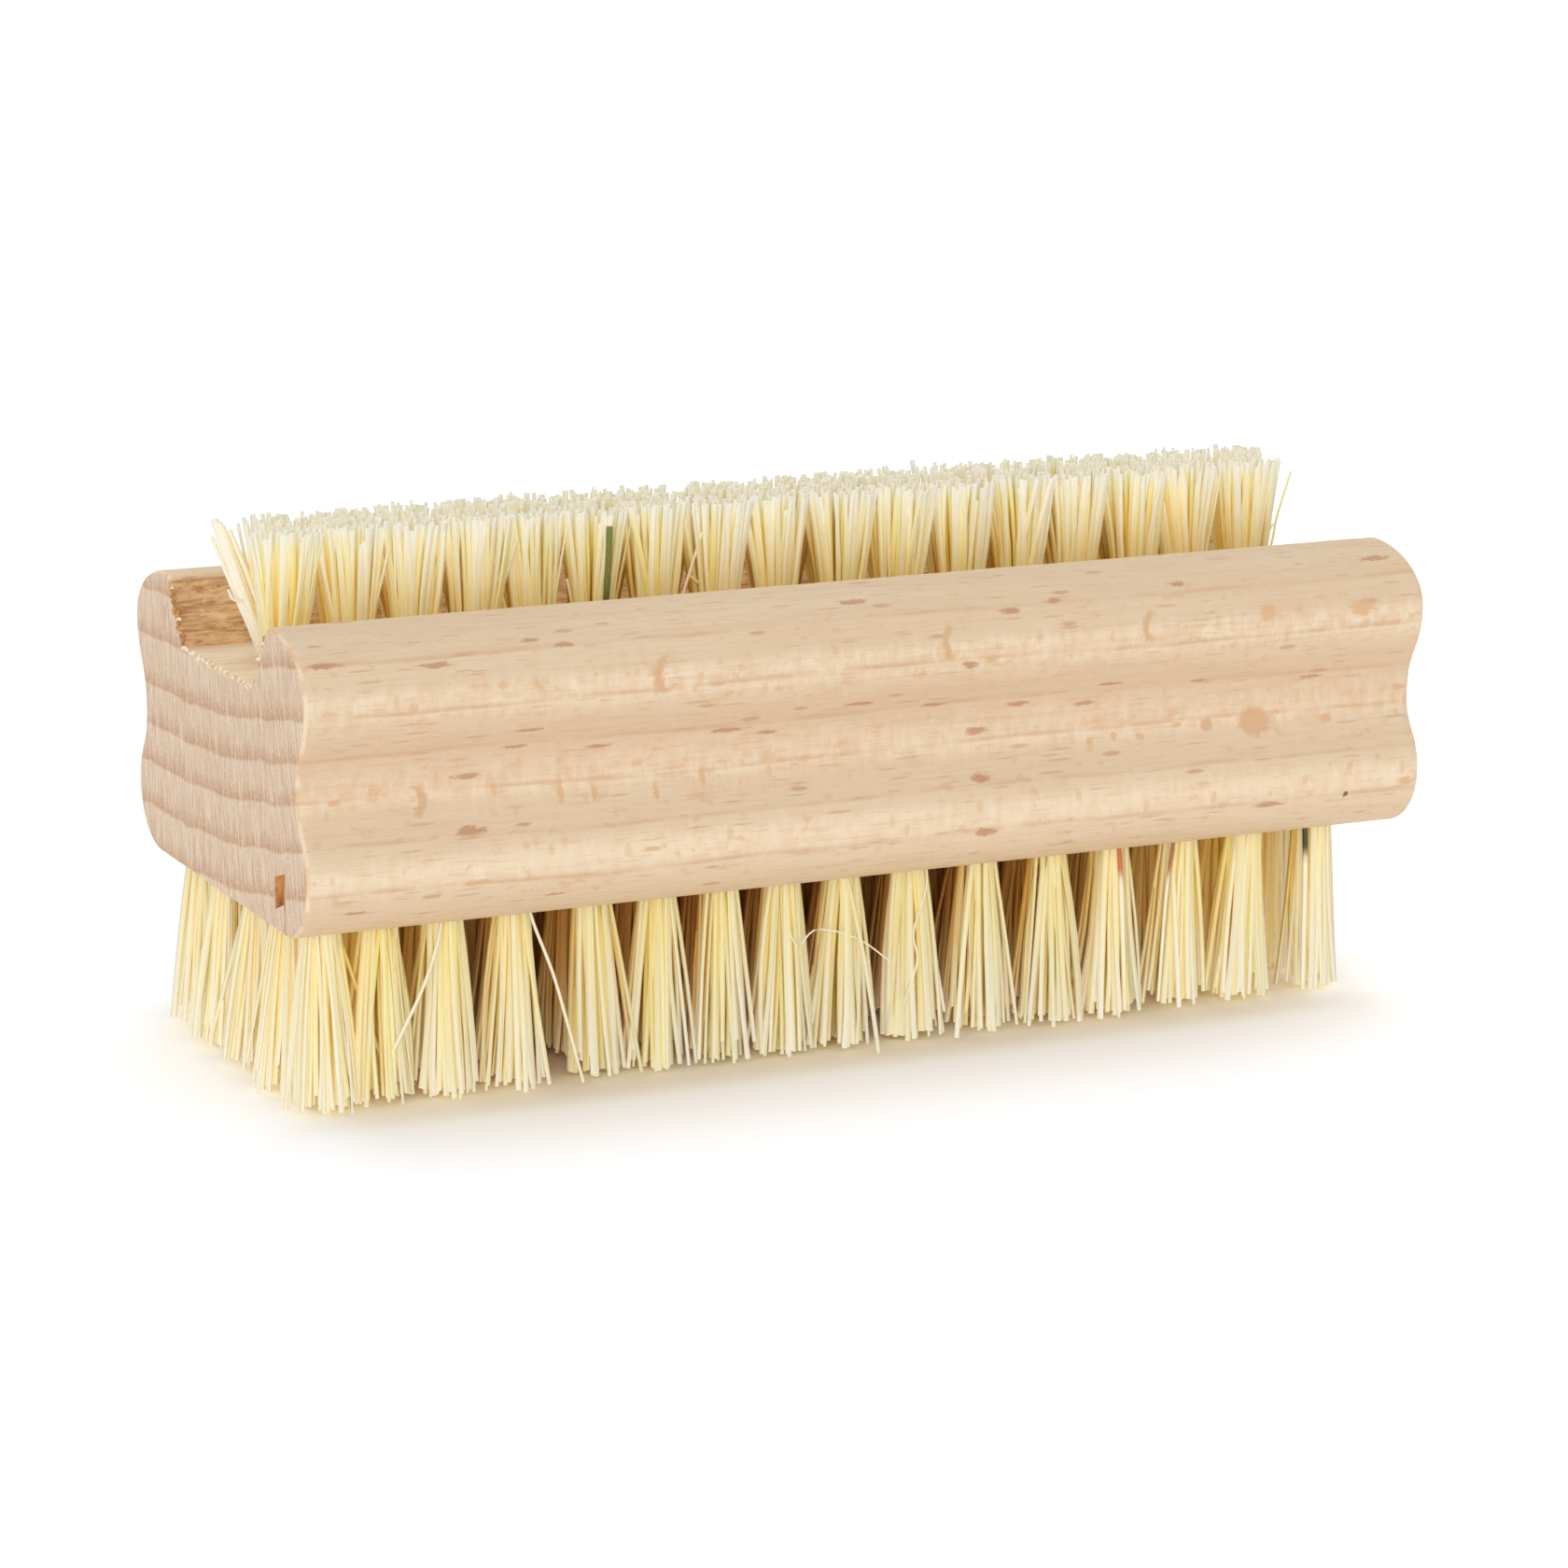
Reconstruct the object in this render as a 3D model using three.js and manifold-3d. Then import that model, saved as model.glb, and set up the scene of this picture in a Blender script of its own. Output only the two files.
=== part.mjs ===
// Double-sided nail brush: a moulded beech block with bristle tufts set in blind holes on both sides.
// Millimetres, +Z up, X along the brush. The origin is the middle of the footprint, at the lower tips,
// on which the brush stands.
import * as THREE from 'three';
import { mergeGeometries, mergeVertices } from 'three/addons/utils/BufferGeometryUtils.js';
import Module from 'manifold-3d';

const wasm = await Module();
wasm.setup();

// Block, moulded to one section along its length
const BLOCK_LENGTH = 95;
const BLOCK_WIDTH = 38.8; // over the bulges
const BLOCK_HEIGHT = 22.8;
const BASE_WIDTH = 29; // flat part of the underside
const LOWER_BULGE_RISE = 4.9; // widest point of the lower bulge, above the underside
const UPPER_BULGE_DROP = 4.5; // widest point of the upper bulge, below the lips
const GRIP_DEPTH = 2; // finger grip between the bulges, on each long side
const GRIP_DROP = 0.5; // deepest point of the grip, below the middle of the bulges
const CURVE_STEPS = 8; // on each curve of the section

// Groove along the top
const GROOVE_MOUTH = 22.4;
const GROOVE_FLOOR = 16.3;
const GROOVE_DEPTH = 5.2; // from the lips
const LIP_ROUND = 0.7; // eased inner edge of each lip

// Blind tuft holes
const HOLE_DIAMETER = 3.4;
const HOLE_SIDES = 6;
const PLUG_SIDES = 4; // root of a tuft in its hole
const WEB = 4.6; // solid wood between the upper and the lower holes
const FIELD_SHIFT = -1.3; // both tuft fields sit off centre along X

// Lower tufts
const LOWER_BRISTLE = 14;
const LOWER_COLUMNS = 16;
const LOWER_ROWS = 5;
const LOWER_END_WALL = 1.7; // wood between the end face and the nearest holes
const LOWER_EDGE_WALL = 0.1; // flat underside left outside the outer holes

// Upper tufts
const UPPER_BRISTLE = 10.7; // above the groove floor
const UPPER_COLUMNS = 17;
const UPPER_ROWS = 2;
const UPPER_END_WALL = 2.6;
const UPPER_ROW_PITCH = 5.5;
const UPPER_STAGGER = 1.7; // each row's start along X, from the row in front of it

// Strands, each standing for a bundle of fibres
const STRAND_RADIUS = 0.6;
const STRAND_SIDES = 3;
const STRAND_BITE = 0.3; // length sunk in the backing
const TIP_GAP = 0.8; // between the tips of neighbouring tufts
const CORNERS = [[-1, -1], [1, -1], [1, 1], [-1, 1]]; // strands of a tuft

// Slice of backing that carries the strands
const SLICE = 0.8;
const SLICE_MARGIN = 0.3; // around the outer holes

// Anchors: flat wires, each through the fold of a tuft
const ANCHOR_HEIGHT = 1.6;
const ANCHOR_THICKNESS = 0.3;
const FOLD = 1; // depth of fibre under the anchor

// Clearances
const FIT = 0.3; // around plugs, slices and anchors
const SEAT = 0.05; // under a slice

const BEECH = { color: 0xe0c3a0, roughness: 0.6, metalness: 0 };
const FIBRE = { color: 0xe9dfae, roughness: 0.7, metalness: 0 };
const WIRE = { color: 0xb4b4b0, roughness: 0.35, metalness: 0.9 };

const base = LOWER_BRISTLE;
const top = base + BLOCK_HEIGHT;
const floor = top - GROOVE_DEPTH;
const holeRadius = HOLE_DIAMETER / 2;
const holeDepth = (BLOCK_HEIGHT - GROOVE_DEPTH - WEB) / 2;
const plugLength = holeDepth - FIT;
const plugRadius = holeRadius * Math.cos(Math.PI / HOLE_SIDES) - FIT;
const anchorLength = 2 * plugRadius;
const anchorMiddle = FOLD - plugLength + FIT + ANCHOR_HEIGHT / 2; // below the surface that the tufts leave
const fieldLength = BLOCK_LENGTH - 2 * Math.abs(FIELD_SHIFT) - HOLE_DIAMETER;

// Each side of the brush has its own frame, with its bristles pointing along its z.
const upperSide = new THREE.Group();
upperSide.position.set(FIELD_SHIFT, 0, floor);
upperSide.updateMatrix();
const lowerSide = new THREE.Group();
lowerSide.position.set(FIELD_SHIFT, 0, base);
lowerSide.rotation.x = Math.PI;
lowerSide.updateMatrix();

// A tuft field is a grid of holes with the bristles that stand in them.
const lower = {
  bristle: LOWER_BRISTLE,
  columns: LOWER_COLUMNS,
  rows: LOWER_ROWS,
  columnPitch: (fieldLength - 2 * LOWER_END_WALL) / (LOWER_COLUMNS - 1),
  rowPitch: (BASE_WIDTH - 2 * LOWER_EDGE_WALL - HOLE_DIAMETER) / (LOWER_ROWS - 1),
  stagger: 0,
  anchored: false,
};
const upper = {
  bristle: UPPER_BRISTLE,
  columns: UPPER_COLUMNS,
  rows: UPPER_ROWS,
  columnPitch: (fieldLength - 2 * UPPER_END_WALL) / (UPPER_COLUMNS - 1),
  rowPitch: UPPER_ROW_PITCH,
  stagger: UPPER_STAGGER,
  anchored: true,
};

function solidOf(geometry) {
  geometry.deleteAttribute('normal');
  geometry.deleteAttribute('uv');
  const merged = mergeVertices(geometry);
  return new wasm.Manifold(new wasm.Mesh({
    numProp: 3,
    vertProperties: new Float32Array(merged.attributes.position.array),
    triVerts: new Uint32Array(merged.index.array),
  }));
}

function geometryOf(solid) {
  const mesh = solid.getMesh();
  const geometry = new THREE.BufferGeometry();
  geometry.setAttribute('position', new THREE.BufferAttribute(mesh.vertProperties, 3));
  geometry.setIndex(new THREE.BufferAttribute(mesh.triVerts, 1));
  geometry.computeVertexNormals();
  return geometry;
}

function piece(name, geometry, look) {
  const mesh = new THREE.Mesh(geometry, new THREE.MeshStandardMaterial(look));
  mesh.name = name;
  return mesh;
}

// A prism standing on z = 0, with a flat face towards -Y.
function prism(radius, height, sides) {
  const outline = Array.from({ length: sides }, (_, corner) => {
    const angle = ((2 * corner + 1) / sides - 0.5) * Math.PI;
    return new THREE.Vector2(radius * Math.cos(angle), radius * Math.sin(angle));
  });
  return new THREE.ExtrudeGeometry(new THREE.Shape(outline), { depth: height, bevelEnabled: false });
}

function box(length, width, low, high) {
  return new THREE.BoxGeometry(length, width, high - low).translate(0, 0, (low + high) / 2);
}

// Middle of every hole of a field, by column and row.
function holePlaces(field) {
  const places = [];
  for (let row = 0; row < field.rows; row += 1) {
    for (let column = 0; column < field.columns; column += 1) {
      const x = (column - (field.columns - 1) / 2) * field.columnPitch + row * field.stagger;
      const y = (row - (field.rows - 1) / 2) * field.rowPitch;
      places.push({ x, y, row, column });
    }
  }
  return places;
}

// A slab under all the tufts of a field, with some room left around its slice of backing.
function slab(field, room, low, high) {
  const stagger = (field.rows - 1) * field.stagger;
  const border = HOLE_DIAMETER + 2 * SLICE_MARGIN + 2 * room;
  const length = (field.columns - 1) * field.columnPitch + stagger + border;
  const width = (field.rows - 1) * field.rowPitch + border;
  return box(length, width, low, high).translate(stagger / 2, 0, 0);
}

// The section, with y to the right and the underside at z = 0, mirrored about its middle.
function blockSection() {
  const half = BLOCK_WIDTH / 2;
  const flat = BASE_WIDTH / 2;
  const mouth = GROOVE_MOUTH / 2;
  const upperBulge = BLOCK_HEIGHT - UPPER_BULGE_DROP;
  const grip = (LOWER_BULGE_RISE + upperBulge) / 2 - GRIP_DROP;
  const waist = half - GRIP_DEPTH;
  const lip = mouth + LIP_ROUND;
  const lowerEase = (grip - LOWER_BULGE_RISE) / 2;
  const upperEase = (upperBulge - grip) / 2;
  const floorHeight = BLOCK_HEIGHT - GROOVE_DEPTH;
  const lipFoot = BLOCK_HEIGHT - LIP_ROUND;
  const shape = new THREE.Shape();
  shape.moveTo(-flat, 0);
  shape.lineTo(flat, 0);
  shape.absellipse(flat, LOWER_BULGE_RISE, half - flat, LOWER_BULGE_RISE, -Math.PI / 2, 0);
  shape.bezierCurveTo(half, LOWER_BULGE_RISE + lowerEase, waist, grip - lowerEase, waist, grip);
  shape.bezierCurveTo(waist, grip + upperEase, half, upperBulge - upperEase, half, upperBulge);
  shape.absellipse(lip, upperBulge, half - lip, UPPER_BULGE_DROP, 0, Math.PI / 2);
  shape.quadraticCurveTo(mouth, BLOCK_HEIGHT, mouth, lipFoot);
  shape.lineTo(GROOVE_FLOOR / 2, floorHeight);
  shape.lineTo(-GROOVE_FLOOR / 2, floorHeight);
  shape.lineTo(-mouth, lipFoot);
  shape.quadraticCurveTo(-mouth, BLOCK_HEIGHT, -lip, BLOCK_HEIGHT);
  shape.absellipse(-lip, upperBulge, half - lip, UPPER_BULGE_DROP, Math.PI / 2, Math.PI);
  shape.bezierCurveTo(-half, upperBulge - upperEase, -waist, grip + upperEase, -waist, grip);
  shape.bezierCurveTo(-waist, grip - lowerEase, -half, LOWER_BULGE_RISE + lowerEase, -half, LOWER_BULGE_RISE);
  shape.absellipse(-flat, LOWER_BULGE_RISE, half - flat, LOWER_BULGE_RISE, Math.PI, 1.5 * Math.PI);
  return shape;
}

// What a field takes out of the block, seen with its bristles pointing up from z = 0, put in place.
function seatCut(field, placing) {
  const seat = slab(field, FIT, -SLICE - SEAT, SLICE);
  const holes = mergeGeometries(holePlaces(field).map(({ x, y }) => (
    prism(holeRadius, holeDepth, HOLE_SIDES).translate(x, y, -holeDepth)
  )));
  return solidOf(seat.applyMatrix4(placing)).add(solidOf(holes.applyMatrix4(placing)));
}

function beechBlock() {
  const extruded = new THREE.ExtrudeGeometry(blockSection(), {
    depth: BLOCK_LENGTH,
    curveSegments: CURVE_STEPS,
    bevelEnabled: false,
  });
  const alongX = new THREE.Matrix4().makeBasis(
    new THREE.Vector3(0, 1, 0),
    new THREE.Vector3(0, 0, 1),
    new THREE.Vector3(1, 0, 0),
  );
  const whole = solidOf(extruded.applyMatrix4(alongX).translate(-BLOCK_LENGTH / 2, 0, base));
  const cut = whole.subtract(seatCut(upper, upperSide.matrix)).subtract(seatCut(lower, lowerSide.matrix));
  return piece('beech_block', geometryOf(cut), BEECH);
}

// The root of a tuft in its hole. An anchored tuft is folded round a window for its wire.
function plug(field) {
  const shank = solidOf(prism(plugRadius, plugLength - SLICE / 2, PLUG_SIDES).translate(0, 0, -plugLength));
  if (!field.anchored) return geometryOf(shank);
  const low = anchorMiddle - ANCHOR_HEIGHT / 2 - FIT;
  const high = anchorMiddle + ANCHOR_HEIGHT / 2 + FIT;
  return geometryOf(shank.subtract(solidOf(box(HOLE_DIAMETER, ANCHOR_THICKNESS + 2 * FIT, low, high))));
}

// A strand at one corner of a tuft, leaning out so that the tips fill the tuft's share of the field.
function strand(field, [side, front]) {
  const root = (holeRadius - STRAND_RADIUS) * Math.SQRT1_2;
  const tipX = (field.columnPitch - TIP_GAP) / 2 - STRAND_RADIUS;
  const tipY = (field.rowPitch - TIP_GAP) / 2 - STRAND_RADIUS;
  const leanX = side * (tipX - root) / field.bristle;
  const leanY = front * (tipY - root) / field.bristle;
  const lean = new THREE.Matrix4().makeShear(0, 0, 0, 0, leanX, leanY);
  const upright = prism(STRAND_RADIUS, field.bristle + STRAND_BITE, STRAND_SIDES);
  return upright.translate(0, 0, -STRAND_BITE).applyMatrix4(lean).translate(side * root, front * root, 0);
}

// Strands and roots of a whole field, fused to their slice of the backing.
function bristles(name, field) {
  const places = holePlaces(field);
  const root = plug(field);
  const tuft = mergeGeometries(CORNERS.map((corner) => strand(field, corner)));
  const roots = mergeGeometries(places.map(({ x, y }) => root.clone().translate(x, y, 0)));
  const tufts = mergeGeometries(places.map(({ x, y }) => tuft.clone().translate(x, y, 0)));
  const slice = solidOf(slab(field, 0, -SLICE, 0));
  return piece(name, geometryOf(slice.add(solidOf(roots)).add(solidOf(tufts))), FIBRE);
}

function anchors(prefix, field) {
  return holePlaces(field).map(({ x, y, row, column }) => {
    const wire = new THREE.BoxGeometry(anchorLength, ANCHOR_THICKNESS, ANCHOR_HEIGHT);
    const anchor = piece(`${prefix}_row${row + 1}_${column + 1}`, wire, WIRE);
    anchor.position.set(x, y, anchorMiddle);
    return anchor;
  });
}

upperSide.add(bristles('upper_bristles', upper), ...anchors('anchor', upper));
lowerSide.add(bristles('lower_bristles', lower));

const brush = new THREE.Group();
brush.add(beechBlock(), upperSide, lowerSide);

export default brush;
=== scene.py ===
"""Double-sided nail brush: a moulded beech block with plant-fibre tufts on both sides, on a white floor."""
import math

import bmesh
import bpy
import numpy as np
from mathutils import Matrix, Vector, noise


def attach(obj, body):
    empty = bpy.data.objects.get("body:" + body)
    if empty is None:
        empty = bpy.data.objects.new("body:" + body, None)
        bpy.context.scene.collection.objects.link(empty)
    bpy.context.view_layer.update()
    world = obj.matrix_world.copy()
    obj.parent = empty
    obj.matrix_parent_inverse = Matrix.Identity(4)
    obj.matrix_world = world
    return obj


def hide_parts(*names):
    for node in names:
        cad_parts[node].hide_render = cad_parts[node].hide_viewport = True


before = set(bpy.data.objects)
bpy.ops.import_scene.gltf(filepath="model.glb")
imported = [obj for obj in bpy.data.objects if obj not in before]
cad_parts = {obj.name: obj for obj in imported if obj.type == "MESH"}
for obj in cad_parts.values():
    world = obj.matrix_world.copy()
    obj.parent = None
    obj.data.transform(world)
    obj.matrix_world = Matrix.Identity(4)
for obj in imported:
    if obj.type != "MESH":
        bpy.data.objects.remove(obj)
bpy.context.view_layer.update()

MM = 0.001
SCENE = bpy.context.scene

# Block, in millimetres, as in the solid model
BLOCK_LENGTH = 95
BLOCK_WIDTH = 38.8
BLOCK_HEIGHT = 22.8
BASE_WIDTH = 29
LOWER_BULGE_RISE = 4.9
UPPER_BULGE_DROP = 4.5
GRIP_DEPTH = 2
GRIP_DROP = 0.5
GROOVE_MOUTH = 22.4
GROOVE_FLOOR = 16.3
GROOVE_DEPTH = 5.2
LIP_ROUND = 0.7
END_EASE = 0.4  # end edges of the moulded sides
GROOVE_EASE = 0.1  # end edges of the groove
EASE_STEPS = 6
STATIONS = 170  # sections along the block, between its eased ends
SHARP_EDGE = 38  # degrees

# Tufts
HOLE_DIAMETER = 3.4
HOLE_DEPTH = 6.5
HOLE_SIDES = 18
OVERCUT = 0.6  # of each cutter, past the surface
FIELD_SHIFT = -1.3
LOWER_BRISTLE = 14
LOWER_COLUMNS = 16
LOWER_ROWS = 5
LOWER_ROW_PITCH = 6.35
LOWER_COLUMN_PITCH = 5.707
UPPER_BRISTLE = 10.7
UPPER_COLUMNS = 17
UPPER_ROWS = 2
UPPER_ROW_PITCH = 5.5
UPPER_COLUMN_PITCH = 5.24
UPPER_STAGGER = 1.7
FIBRES = 62  # in a tuft
UPPER_ROOT, UPPER_FAN = 1.4, 2.05  # reach of a tuft's fibres at its hole, and how much wider its tips are
LOWER_ROOT, LOWER_FAN = 1.42, 1.88

# Front tufts of each side, along X
UPPER_FRONT_X = (-43.3, -37.7, -32.8, -27.9, -22.9, -17.8, -12.7, -7.4, -2.0,
                 3.4, 8.5, 14.2, 19.4, 24.4, 30.0, 34.8, 40.5)
LOWER_FRONT_X = (-44.1, -39.5, -34.3, -28.8, -22.2, -16.8, -11.5, -6.2, -1.0,
                 4.8, 11.0, 17.3, 22.9, 29.1, 35.2, 41.5)

# Grain: growth rings round a pith far above the block
PITH_Y = 17.7
PITH_Z = 194
RING_EDGES = (159.3, 163.0, 166.9, 170.1, 173.2, 176.7, 180.2, 183.7)
RING_START = 156
RING_SPAN = 30
ARC_RADIUS = 172  # at which lengths around the pith are true
# Ray flecks on the front: x, z, half width, half height, and the side on which a crescent opens
FLECKS = ((-38.2, 24.1, 1.0, 1.35, -1), (-19.0, 32.3, 1.05, 1.5, 1), (5.0, 32.8, 0.85, 1.4, 1),
          (22.5, 32.7, 0.95, 1.3, 1), (33.0, 23.9, 1.6, 1.25, 0), (28.7, 24.0, 0.6, 0.6, 0))
# Brown ray ends and orange spots on the front: x, z, half width, half height
DASHES = ((-45.4, 34.9, 1.7, 0.2), (-36.9, 34.4, 1.6, 0.24), (-29.0, 35.4, 1.0, 0.16),
          (-26.5, 35.0, 1.0, 0.18), (-29.4, 28.9, 1.2, 0.16), (-30.4, 27.6, 1.2, 0.17),
          (-23.7, 27.0, 1.3, 0.18), (-34.2, 25.6, 1.3, 0.28), (-34.3, 21.7, 1.4, 0.36),
          (-27.7, 16.2, 1.0, 0.13), (-43.6, 16.4, 1.0, 0.14), (-2.0, 36.0, 1.3, 0.16),
          (10.6, 34.7, 1.1, 0.25), (6.7, 31.0, 0.8, 0.4), (-2.3, 28.5, 1.4, 0.18),
          (4.2, 27.8, 1.2, 0.17), (11.7, 27.2, 1.2, 0.25), (-13.0, 27.3, 1.8, 0.24),
          (-9.7, 26.8, 1.2, 0.22), (8.2, 25.3, 1.1, 0.4), (8.1, 21.8, 1.0, 0.4),
          (8.2, 17.6, 1.1, 0.4), (14.6, 35.1, 0.9, 0.2), (25.9, 35.5, 0.95, 0.18),
          (44.5, 36.0, 1.6, 0.16), (17.5, 26.7, 1.2, 0.25), (19.6, 28.2, 1.2, 0.16),
          (27.6, 27.7, 1.0, 0.16), (38.1, 27.2, 1.2, 0.16), (33.7, 17.4, 1.7, 0.25))
SPOTS = ((-44.6, 24.5, 0.7, 0.25), (-34.2, 17.9, 1.2, 0.3), (-19.9, 19.1, 1.0, 0.25), (8.4, 31.3, 0.6, 0.3),
         (26.0, 24.2, 0.5, 0.25), (22.6, 23.6, 0.5, 0.3), (20.3, 23.8, 0.35, 0.4), (18.1, 23.6, 0.35, 0.4),
         (39.6, 23.6, 0.6, 0.5), (33.1, 33.0, 0.85, 0.8), (41.7, 32.8, 1.5, 0.8), (46.4, 25.6, 0.9, 0.35),
         (46.2, 18.2, 1.0, 0.35), (-26.7, 23.6, 0.35, 0.8), (-24.0, 23.5, 0.3, 0.7), (-19.0, 23.1, 0.3, 0.8),
         (-15.1, 23.9, 0.35, 0.8))

# Chip out of the left end beside the first front hole, and the crack below it: y, and z above the underside
CHIP = ((-12.43, 4.14), (-14.71, 4.83), (-14.61, 2.51), (-12.54, 1.70))
CRACK = ((-14.5, 2.7), (-14.66, 2.7), (-14.62, 1.3), (-14.78, -0.2), (-14.66, -0.2), (-14.52, 1.3))
CHIP_DEPTH, CRACK_DEPTH = 0.5, 0.3

BASE = LOWER_BRISTLE
TOP = BASE + BLOCK_HEIGHT
FLOOR = TOP - GROOVE_DEPTH
HALF_LENGTH = BLOCK_LENGTH / 2


def linear(*rgb):
    """Colour on a 0 to 255 screen scale, as the linear values that shaders take."""
    c = np.asarray(rgb, float) / 255
    return np.where(c <= 0.04045, c / 12.92, ((c + 0.055) / 1.055) ** 2.4)


def rgba(*rgb):
    return (*linear(*rgb).tolist(), 1.0)


# Shader helpers

def new_material(name):
    material = bpy.data.materials.new(name)
    material.use_nodes = True
    material.node_tree.nodes.clear()
    return material, material.node_tree


def add(tree, kind, inputs=None, **settings):
    node = tree.nodes.new("ShaderNode" + kind)
    for key, value in settings.items():
        setattr(node, key, value)
    for key, value in (inputs or {}).items():
        if isinstance(value, bpy.types.NodeSocket):
            tree.links.new(value, node.inputs[key])
        else:
            node.inputs[key].default_value = value
    return node


def calc(tree, operation, a, b=0.0, c=0.0):
    return add(tree, "Math", {0: a, 1: b, 2: c}, operation=operation).outputs[0]


def times(tree, a, b):
    return calc(tree, "MULTIPLY", a, b)


def minus(tree, a, b):
    return calc(tree, "SUBTRACT", a, b)


def fade(tree, value, start, end):
    """Smooth step from 0 at start to 1 at end."""
    inputs = {"Value": value, "From Min": start, "From Max": end}
    return add(tree, "MapRange", inputs, interpolation_type="SMOOTHSTEP").outputs[0]


def mix(tree, factor, a, b):
    """Mix of two colours, each a socket, a linear colour of four values or a screen colour of three."""
    a, b = (rgba(*c) if isinstance(c, tuple) and len(c) == 3 else c for c in (a, b))
    return add(tree, "Mix", {0: factor, 6: a, 7: b}, data_type="RGBA").outputs[2]


def layered(tree, base, *layers):
    """The base with tones laid over it in turn, each by an amount of its mask."""
    for mask, amount, tone in layers:
        base = mix(tree, times(tree, mask, amount), base, tone)
    return base


def ramp(tree, value, stops):
    node = add(tree, "ValToRGB", {0: value})
    elements = node.color_ramp.elements
    while len(elements) < len(stops):
        elements.new(1.0)
    for element, (place, colour) in zip(elements, stops):
        element.position = place
        element.color = colour
    return node.outputs[0]


def vector(tree, x, y, z):
    return add(tree, "CombineXYZ", {0: x, 1: y, 2: z}).outputs[0]


def fractal(tree, place, detail=2.0, rough=0.5, scale=1.0):
    inputs = {"Vector": place, "Scale": scale, "Detail": detail, "Roughness": rough}
    return add(tree, "TexNoise", inputs).outputs[0]


def surface(tree, colour, roughness, height, depth, strength):
    bump = add(tree, "Bump", {"Strength": strength, "Distance": depth, "Height": height}).outputs[0]
    inputs = {"Base Color": colour, "Roughness": roughness, "Normal": bump}
    shader = add(tree, "BsdfPrincipled", inputs)
    add(tree, "OutputMaterial", {0: shader.outputs[0]})
    return shader


def place_of(tree, *scale):
    """The object's own coordinates, times a scale along each axis."""
    coords = add(tree, "TexCoord").outputs["Object"]
    return add(tree, "VectorMath", {0: coords, 1: scale}, operation="MULTIPLY").outputs[0]


def length(tree, a, b):
    return calc(tree, "SQRT", calc(tree, "ADD", times(tree, a, a), times(tree, b, b)))


def grain_place(tree):
    """x, y and z in millimetres, then the distance around the pith and the distance out from it."""
    x, y, z = add(tree, "SeparateXYZ", {0: place_of(tree, 1000, 1000, 1000)}).outputs
    across = minus(tree, y, PITH_Y)
    down = minus(tree, PITH_Z, z)
    around = times(tree, calc(tree, "ARCTAN2", across, down), ARC_RADIUS)
    return x, y, z, around, length(tree, across, down)


def grain_noise(tree, x, around, radius, along, wide, deep, detail=2.0, rough=0.5):
    """Noise with features of these sizes in millimetres: along the grain, around the pith, out from it."""
    place = vector(tree, calc(tree, "DIVIDE", x, along), calc(tree, "DIVIDE", around, wide),
                   calc(tree, "DIVIDE", radius, deep))
    return fractal(tree, place, detail, rough)


def specks(tree, x, y, z, size, share, reach):
    """Soft mask of lens-shaped spots of about this size in millimetres, in a share of the cells."""
    sized = zip((x, y, z), size)
    place = vector(tree, *(calc(tree, "DIVIDE", value, part / reach) for value, part in sized))
    cells = add(tree, "TexVoronoi", {"Vector": place, "Scale": 1.0}, feature="F1")
    chance = add(tree, "SeparateColor", {0: cells.outputs["Color"]})
    there = calc(tree, "LESS_THAN", chance.outputs[0], share)
    radius = calc(tree, "MULTIPLY_ADD", chance.outputs[1], reach * 0.5, reach * 0.5)
    inside = minus(tree, 1.0, calc(tree, "DIVIDE", cells.outputs["Distance"], radius))
    return times(tree, fade(tree, inside, 0.0, 0.55), there)


def fleck(tree, x, z, wobble, place):
    """Mask of one ray fleck: an uneven oval, or a crescent that opens to one side."""
    middle_x, middle_z, wide, tall, opens = place

    def oval(shift, share):
        across = calc(tree, "DIVIDE", minus(tree, x, middle_x + shift), wide * share)
        up = calc(tree, "DIVIDE", minus(tree, z, middle_z), tall * share)
        return calc(tree, "ADD", length(tree, across, up), wobble)

    mask = fade(tree, oval(0, 1), 1.1, 0.7)
    if opens:
        mask = times(tree, mask, fade(tree, oval(opens * wide * 0.55, 0.8), 0.7, 1.1))
    return mask


def nearest(tree, x, z, marks):
    """How far the nearest of these marks is, in its own half sizes."""
    place = vector(tree, x, 0.0, z)
    least = None
    for middle_x, middle_z, wide, tall in marks:
        inputs = {0: place, 1: (1 / wide, 0, 1 / tall), 2: (-middle_x / wide, 0, -middle_z / tall)}
        scaled = add(tree, "VectorMath", inputs, operation="MULTIPLY_ADD").outputs[0]
        far = add(tree, "VectorMath", {0: scaled}, operation="LENGTH").outputs["Value"]
        least = calc(tree, "MINIMUM", least, far) if least else far
    return least


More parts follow.
